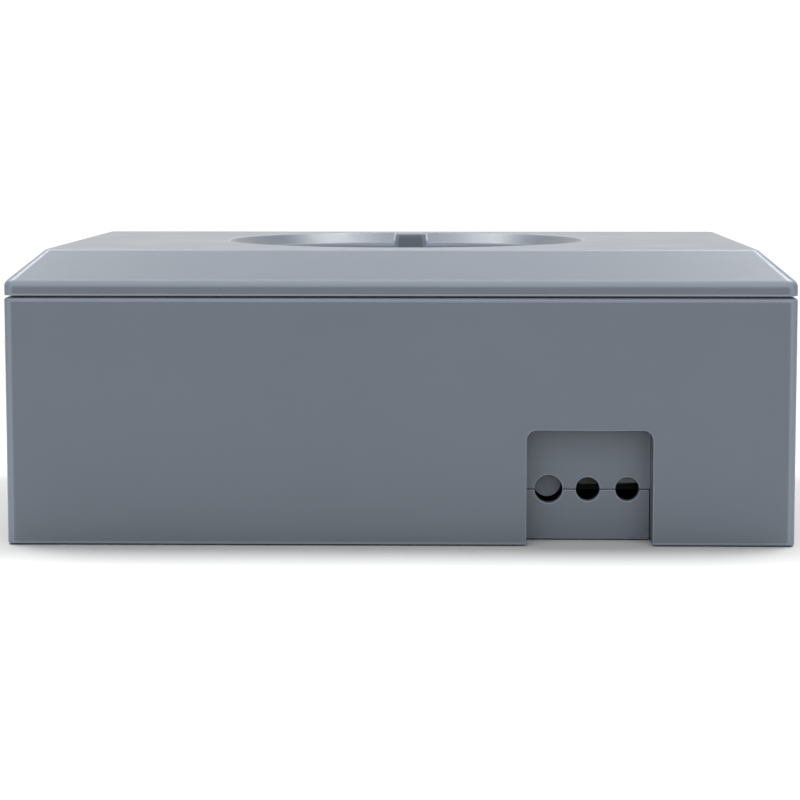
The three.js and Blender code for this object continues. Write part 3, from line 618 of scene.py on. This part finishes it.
def release_probe():
    pivot, arc_r, wire = (-20.0, 66.0), 30.0, 1.55
    bm = bmesh.new()
    loops, sides = [], 24
    stations = [(-62 + 76 * i / 38, wire) for i in range(39)] + [(14.6, 1.35), (15.1, 1.05), (15.6, 0.6)]
    for turn, radius in stations:
        ring = []
        for i in range(sides):
            side = 2 * math.pi * i / sides
            x, z = polar(*pivot, arc_r + radius * math.cos(side), turn)
            ring.append(bm.verts.new((x * MM, (DISH_Y + radius * math.sin(side)) * MM, z * MM)))
        loops.append(ring)
    for lower, upper in zip(loops, loops[1:]):
        for i in range(sides):
            j = (i + 1) % sides
            bm.faces.new((lower[i], lower[j], upper[j], upper[i]))
    bm.faces.new(list(reversed(loops[0])))
    x, z = polar(*pivot, arc_r, 15.9)
    tip = bm.verts.new((x * MM, DISH_Y * MM, z * MM))
    for i in range(sides):
        bm.faces.new((loops[-1][i], loops[-1][(i + 1) % sides], tip))
    return dress(smooth(finish_mesh("release_probe_wire", bm)), "release_probe", "probe")


# ---------------------------------------------------------------- bottom plate and feet
def bottom_plate():
    width, depth = WIDTH - 2 * WALL - 0.6, DEPTH - 2 * WALL - 0.6
    edge = rounded_rect(width, depth, 1.0, 4)
    rings = [(rounded_rect(width - 0.6, depth - 0.6, 0.8, 4), SKIRT_Z), (edge, SKIRT_Z + 0.3),
             (edge, PLATE_TOP_Z)]
    body = loft("bottom_plate_tray", rings)
    back = BAY_BACK_Y + BAY_WALL
    gap = BAY_WALL + 0.3
    combine(body, [block("clear", BAY_X0 - gap, BAY_X1 + gap, -DEPTH / 2, back + 0.3, -1, 6)])
    panel = block("panel", BAY_X0 + 0.2, BAY_X1 - 0.2, BAY_BACK_Y, back,
                  SKIRT_Z, SPLIT_Z - SPLIT_GAP)
    bevel(panel, 0.3, 3, 60)
    root = block("root", BAY_X0 + 0.5, BAY_X1 - 0.5, BAY_BACK_Y + 1, back + 1.5,
                 SKIRT_Z + 0.3, PLATE_TOP_Z - 0.1)
    combine(body, [panel, root], "UNION")
    posts = [lathe("post", [(0, 3.0), (3.5, 3.0), (3.5, 12.0), (0, 12.0)], 24, xy)
             for xy in ((29, -36), (101, -36), (29, 46), (101, 46))]
    clamp_post = [(0, 3.0), (4, 3.0), (4, 19.5), (0, 19.5)]
    posts += [lathe("post", clamp_post, 24, xy) for xy in ((33, -57.5), (82, -57.5))]
    combine(body, posts, "UNION")
    cuts = cable_tools(back + 3.0)
    for x, y in BASE_SCREWS:
        sink = [(0, 0), (4.1, 0), (4.1, 0.85), (3.7, 1.25), (3.7, 2.6), (1.9, 2.6), (1.9, 6), (0, 6)]
        cuts.append(lathe("sink", sink, 32, (x, y)))
    for sx, sy, _ in QUADRANTS:
        seat = [(0, 0), (9.6, 0), (9.2, 1.2), (9.2, 2.0), (0, 2.0)]
        cuts.append(lathe("foot_seat", seat, 48, (sx * 95, sy * 52)))
    return dress(smooth(combine(body, cuts)), "bottom_plate")


def foot(sx, sy, side):
    profile = [(0, 0.5), (4.0, 0.5), (4.4, 0.25), (4.8, 0.0), (8.2, 0.0), (8.7, 0.2), (8.95, 0.7), (9.0, 1.2),
               (9.0, 2.0), (0, 2.0)]
    return dress(smooth(lathe(f"foot_pad_{side}", profile, 48, (sx * 95, sy * 52))), f"foot_{side}")


# ---------------------------------------------------------------- screws
def cross_recess(centre, top, size, depth, axis_up):
    """Four-armed driver recess that tapers towards its floor."""
    sign = 1 if axis_up else -1
    tools = []
    for across, along in ((0.22 * size, size), (size, 0.22 * size)):
        rings = []
        for scale, level in ((1.08, 0.5), (1.0, 0.0), (0.55, -depth)):
            hx, hy = across * scale, along * scale
            points = [(centre[0] - hx, centre[1] - hy), (centre[0] + hx, centre[1] - hy),
                      (centre[0] + hx, centre[1] + hy), (centre[0] - hx, centre[1] + hy)]
            rings.append((points, top + sign * level))
        tools.append(loft("arm", rings))
    return tools


def pan_screw(node, x, y, seat, head_r, head_h, shank_r, length, up):
    """Head on the seat plane; up means that the shank points up, as in the CAD."""
    sign = -1 if up else 1
    dome = [(0, seat + sign * head_h)]
    for a in (15, 35, 55, 75):
        height = 0.35 + 0.65 * math.cos(math.radians(a))
        dome.append((head_r * math.sin(math.radians(a)), seat + sign * head_h * height))
    dome += [(head_r, seat + sign * head_h * 0.3), (head_r, seat), (shank_r, seat)]
    pitch, turns = 0.9, int(length / 0.9) - 1
    level = 1.0
    for _ in range(turns):
        dome += [(shank_r, seat - sign * level),
                 (shank_r * 0.8, seat - sign * (level + pitch * 0.5))]
        level += pitch
    dome += [(shank_r * 0.8, seat - sign * (length - 0.6)), (shank_r * 0.45, seat - sign * length),
             (0, seat - sign * length)]
    body = lathe(node + "_turned", dome, 32, (x, y))
    combine(body, cross_recess((x, y), seat + sign * head_h, head_r * 0.55, head_h * 0.75, not up))
    return dress(smooth(body, 28), node)


def all_screws():
    for sx, sy, side in QUADRANTS:
        pan_screw(f"cover_screw_{side}", sx * COLUMN_X, sy * COLUMN_Y, 58.0, 3.8, 3.0, 2.0, 24.5, True)
    for i, (x, y) in enumerate(BASE_SCREWS):
        pan_screw(f"base_screw_{i + 1}", x, y, 2.6, 3.5, 1.6, 1.6, 12.8, True)
    for i, (x, y) in enumerate(NEST_SCREWS):
        pan_screw(f"nest_screw_{i + 1}", x, y, 82.0, 2.8, 1.4, 1.4, 9.0, False)


# ---------------------------------------------------------------- status light
def status_lens():
    profile = [(0, 71.0), (2.5, 71.0), (2.5, 76.9)]
    profile += [(2.5 * math.cos(math.radians(a)), 76.9 + 0.9 * math.sin(math.radians(a)))
                for a in (20, 40, 60, 80)]
    profile.append((0, 77.8))
    return dress(smooth(lathe("status_lens_dome", profile, 32, (0, LENS_Z), "y")), "status_lens")


# ---------------------------------------------------------------- stage, light, camera
def add_area(name, location, target, size, power, colour=(1.0, 1.0, 1.0)):
    data = bpy.data.lights.new(name, "AREA")
    data.shape = "RECTANGLE"
    data.size, data.size_y = size
    data.energy = power
    data.color = colour
    lamp = bpy.data.objects.new(name, data)
    lamp.location = Vector(location)
    lamp.rotation_euler = (Vector(target) - Vector(location)).to_track_quat("-Z", "Y").to_euler()
    bpy.context.collection.objects.link(lamp)
    return lamp


def studio_world():
    """White backdrop for the camera; dimmer, even light for the surfaces."""
    world = bpy.data.worlds.new("studio")
    world.use_nodes = True
    nodes, links = world.node_tree.nodes, world.node_tree.links
    fill = nodes["Background"]
    fill.inputs["Color"].default_value = (0.97, 0.985, 1.0, 1.0)
    fill.inputs["Strength"].default_value = FILL_STRENGTH
    backdrop = nodes.new("ShaderNodeBackground")
    backdrop.inputs["Color"].default_value = (1.0, 1.0, 1.0, 1.0)
    backdrop.inputs["Strength"].default_value = BACKDROP_STRENGTH
    rays = nodes.new("ShaderNodeLightPath")
    mix = nodes.new("ShaderNodeMixShader")
    links.new(rays.outputs["Is Camera Ray"], mix.inputs["Fac"])
    links.new(fill.outputs["Background"], mix.inputs[1])
    links.new(backdrop.outputs["Background"], mix.inputs[2])
    links.new(mix.outputs["Shader"], nodes["World Output"].inputs["Surface"])
    bpy.context.scene.world = world


def stage():
    bpy.ops.mesh.primitive_plane_add(size=FLOOR_SIZE, location=(0, -0.1, 0))
    floor = bpy.context.object
    floor.name = "floor"
    material, _, _, shader = principled("paper_floor")
    shader.inputs["Base Color"].default_value = (FLOOR_GREY, FLOOR_GREY, FLOOR_GREY, 1.0)
    shader.inputs["Roughness"].default_value = 0.9
    shader.inputs["Specular IOR Level"].default_value = 0.0
    floor.data.materials.append(material)
    studio_world()
    aim = LIGHT_AIM
    add_area("top_wide", (0.0, 0.22, 1.19), aim, (1.5, 0.46), 10.5)
    add_area("top_right", (0.44, 0.17, 1.12), aim, (0.5, 0.34), 6.8)
    add_area("top_left", (-0.52, 0.22, 1.08), aim, (0.5, 0.34), 5.5)
    add_area("front_fill", (0.0, -1.35, 0.7), aim, (2.4, 1.2), 17.0)
    add_area("edge_strip", (-0.04, -0.34, 1.15), aim, (0.8, 0.1), 1.3)
    add_area("rear_card", (0.0, 1.3, 0.6), aim, (2.4, 1.2), 8.5, (1.0, 0.955, 0.9))
    bpy.context.scene.view_settings.view_transform = "Standard"


def camera():
    data = bpy.data.cameras.new("camera")
    data.lens = 106.59
    data.sensor_width = 36.0
    data.clip_end = 50.0
    eye = bpy.data.objects.new("camera", data)
    data.shift_x, data.shift_y = -0.0312, -0.0375
    eye.location = (0.0209, -0.7903, 0.1243)
    eye.rotation_euler = (math.radians(84.36), 0.0, math.radians(1.067))
    bpy.context.collection.objects.link(eye)
    bpy.context.scene.camera = eye


camera()
stage()
lower_housing()
top_cover()
nest_insert()
tag_plunger()
plunger_spring()
release_probe()
bottom_plate()
for quadrant in QUADRANTS:
    foot(*quadrant)
all_screws()
status_lens()
